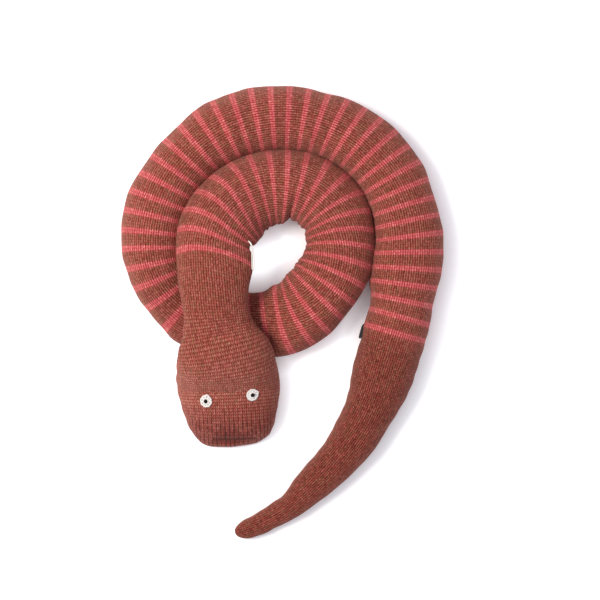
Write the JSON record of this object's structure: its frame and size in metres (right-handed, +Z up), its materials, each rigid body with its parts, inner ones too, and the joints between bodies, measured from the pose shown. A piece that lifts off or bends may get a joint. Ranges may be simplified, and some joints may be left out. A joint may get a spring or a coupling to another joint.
{
  "type": "stuffed toy snake",
  "caption": "Long stuffed toy snake in striped machine knit, laid in a double coil with its flat head resting over the lower turn and a tapering tail.",
  "frame": {"origin": "on the ground, under the centre of the whole outline", "axes": "+Y from the tail's tip to the far side of the outer turn, +Z up, +X to the right with the head towards the viewer"},
  "size_m": [0.4506, 0.6359, 0.1131],
  "materials": {
    "knit": "marled wool knit",
    "stuffing": "loose fibre filling",
    "cream_crochet": "crocheted cotton",
    "black_yarn": "knotted yarn",
    "seam_yarn": "yarn",
    "cream_label": "woven tape",
    "black_label": "woven tape"
  },
  "bodies": {
    "coil": {"knit_coil_1": "knit", "knit_coil_2": "knit", "knit_coil_3": "knit", "knit_under_1": "knit", "knit_under_2": "knit", "knit_bend": "knit", "stuffing_coil": "stuffing"},
    "loop_1": {"knit_loop_1": "knit", "stuffing_loop_1": "stuffing"},
    "loop_2": {"knit_loop_2": "knit", "stuffing_loop_2": "stuffing"},
    "loop_3": {"knit_loop_3": "knit", "stuffing_loop_3": "stuffing"},
    "loop_4": {"knit_loop_4": "knit", "stuffing_loop_4": "stuffing"},
    "loop_5": {"knit_loop_5": "knit", "stuffing_loop_5": "stuffing"},
    "loop_6": {"knit_loop_6": "knit", "stuffing_loop_6": "stuffing"},
    "tail_1": {"knit_tail_1": "knit", "stuffing_tail_1": "stuffing", "tail_label": "black_label"},
    "tail_2": {"knit_tail_2": "knit", "stuffing_tail_2": "stuffing"},
    "tail_3": {"knit_tail_3": "knit", "stuffing_tail_3": "stuffing"},
    "tail_4": {"knit_tail_4": "knit", "stuffing_tail_4": "stuffing", "knit_tail_tip": "knit"},
    "neck_1": {"knit_neck_1": "knit", "stuffing_neck_1": "stuffing"},
    "neck_2": {"knit_neck_2": "knit", "stuffing_neck_2": "stuffing", "neck_label": "cream_label"},
    "neck_3": {"knit_neck_3": "knit", "stuffing_neck_3": "stuffing"},
    "head": {"knit_neck_4": "knit", "knit_head": "knit", "stuffing_head": "stuffing", "eye_left": "cream_crochet", "eye_right": "cream_crochet", "pupil_left": "black_yarn", "pupil_right": "black_yarn", "nose_seam": "seam_yarn"}
  },
  "joints": [
    {"name": "loop_bend_1", "type": "hinge", "parent": "coil", "child": "loop_1", "pos_m": [-0.17416, 0.13933, 0.04185], "axis": [0, 0, 1], "range_deg": [0, 30], "deforming": ["knit_loop_1"]},
    {"name": "loop_bend_2", "type": "hinge", "parent": "loop_1", "child": "loop_2", "pos_m": [-0.12749, 0.22016, 0.04185], "axis": [0, 0, 1], "range_deg": [0, 30], "deforming": ["knit_loop_2"]},
    {"name": "loop_bend_3", "type": "hinge", "parent": "loop_2", "child": "loop_3", "pos_m": [-0.04666, 0.26683, 0.04185], "axis": [0, 0, 1], "range_deg": [0, 30], "deforming": ["knit_loop_3"]},
    {"name": "loop_bend_4", "type": "hinge", "parent": "loop_3", "child": "loop_4", "pos_m": [0.04666, 0.26683, 0.04185], "axis": [0, 0, 1], "range_deg": [0, 30], "deforming": ["knit_loop_4"]},
    {"name": "loop_bend_5", "type": "hinge", "parent": "loop_4", "child": "loop_5", "pos_m": [0.12749, 0.22016, 0.04185], "axis": [0, 0, 1], "range_deg": [0, 30], "deforming": ["knit_loop_5"]},
    {"name": "loop_bend_6", "type": "hinge", "parent": "loop_5", "child": "loop_6", "pos_m": [0.17416, 0.13933, 0.04185], "axis": [0, 0, 1], "range_deg": [0, 30], "deforming": ["knit_loop_6"]},
    {"name": "tail_bend_1", "type": "hinge", "parent": "loop_6", "child": "tail_1", "pos_m": [0.16472, -0.00569, 0.04185], "axis": [0, 0, 1], "range_deg": [-5, 24], "deforming": ["knit_tail_1"]},
    {"name": "tail_bend_2", "type": "hinge", "parent": "tail_1", "child": "tail_2", "pos_m": [0.13548, -0.10132, 0.03554], "axis": [0, 0, 1], "range_deg": [-5, 24], "deforming": ["knit_tail_2"]},
    {"name": "tail_bend_3", "type": "hinge", "parent": "tail_2", "child": "tail_3", "pos_m": [0.09112, -0.19031, 0.02677], "axis": [0, 0, 1], "range_deg": [-5, 24], "deforming": ["knit_tail_3"]},
    {"name": "tail_bend_4", "type": "hinge", "parent": "tail_3", "child": "tail_4", "pos_m": [0.02366, -0.26393, 0.018], "axis": [0, 0, 1], "range_deg": [-5, 24], "deforming": ["knit_tail_4"]},
    {"name": "neck_bend_1", "type": "hinge", "parent": "coil", "child": "neck_1", "pos_m": [-0.05306, 0.16317, 0.04832], "axis": [-0.5084, 0.8611, 0], "range_deg": [0, 25], "deforming": ["knit_neck_1"]},
    {"name": "neck_bend_2", "type": "hinge", "parent": "neck_1", "child": "neck_2", "pos_m": [-0.09631, 0.09899, 0.07234], "axis": [-0.989, 0.148, 0], "range_deg": [0, 25], "deforming": ["knit_neck_2"]},
    {"name": "neck_turn", "type": "hinge", "parent": "neck_2", "child": "neck_3", "pos_m": [-0.09301, 0.02219, 0.0825], "axis": [0, 0, 1], "range_deg": [-12, 4], "deforming": ["knit_neck_3"]},
    {"name": "head_nod", "type": "hinge", "parent": "neck_3", "child": "head", "pos_m": [-0.08386, -0.03715, 0.08239], "axis": [-0.9774, -0.2113, 0], "range_deg": [0, 30], "deforming": ["knit_neck_4"]}
  ]
}
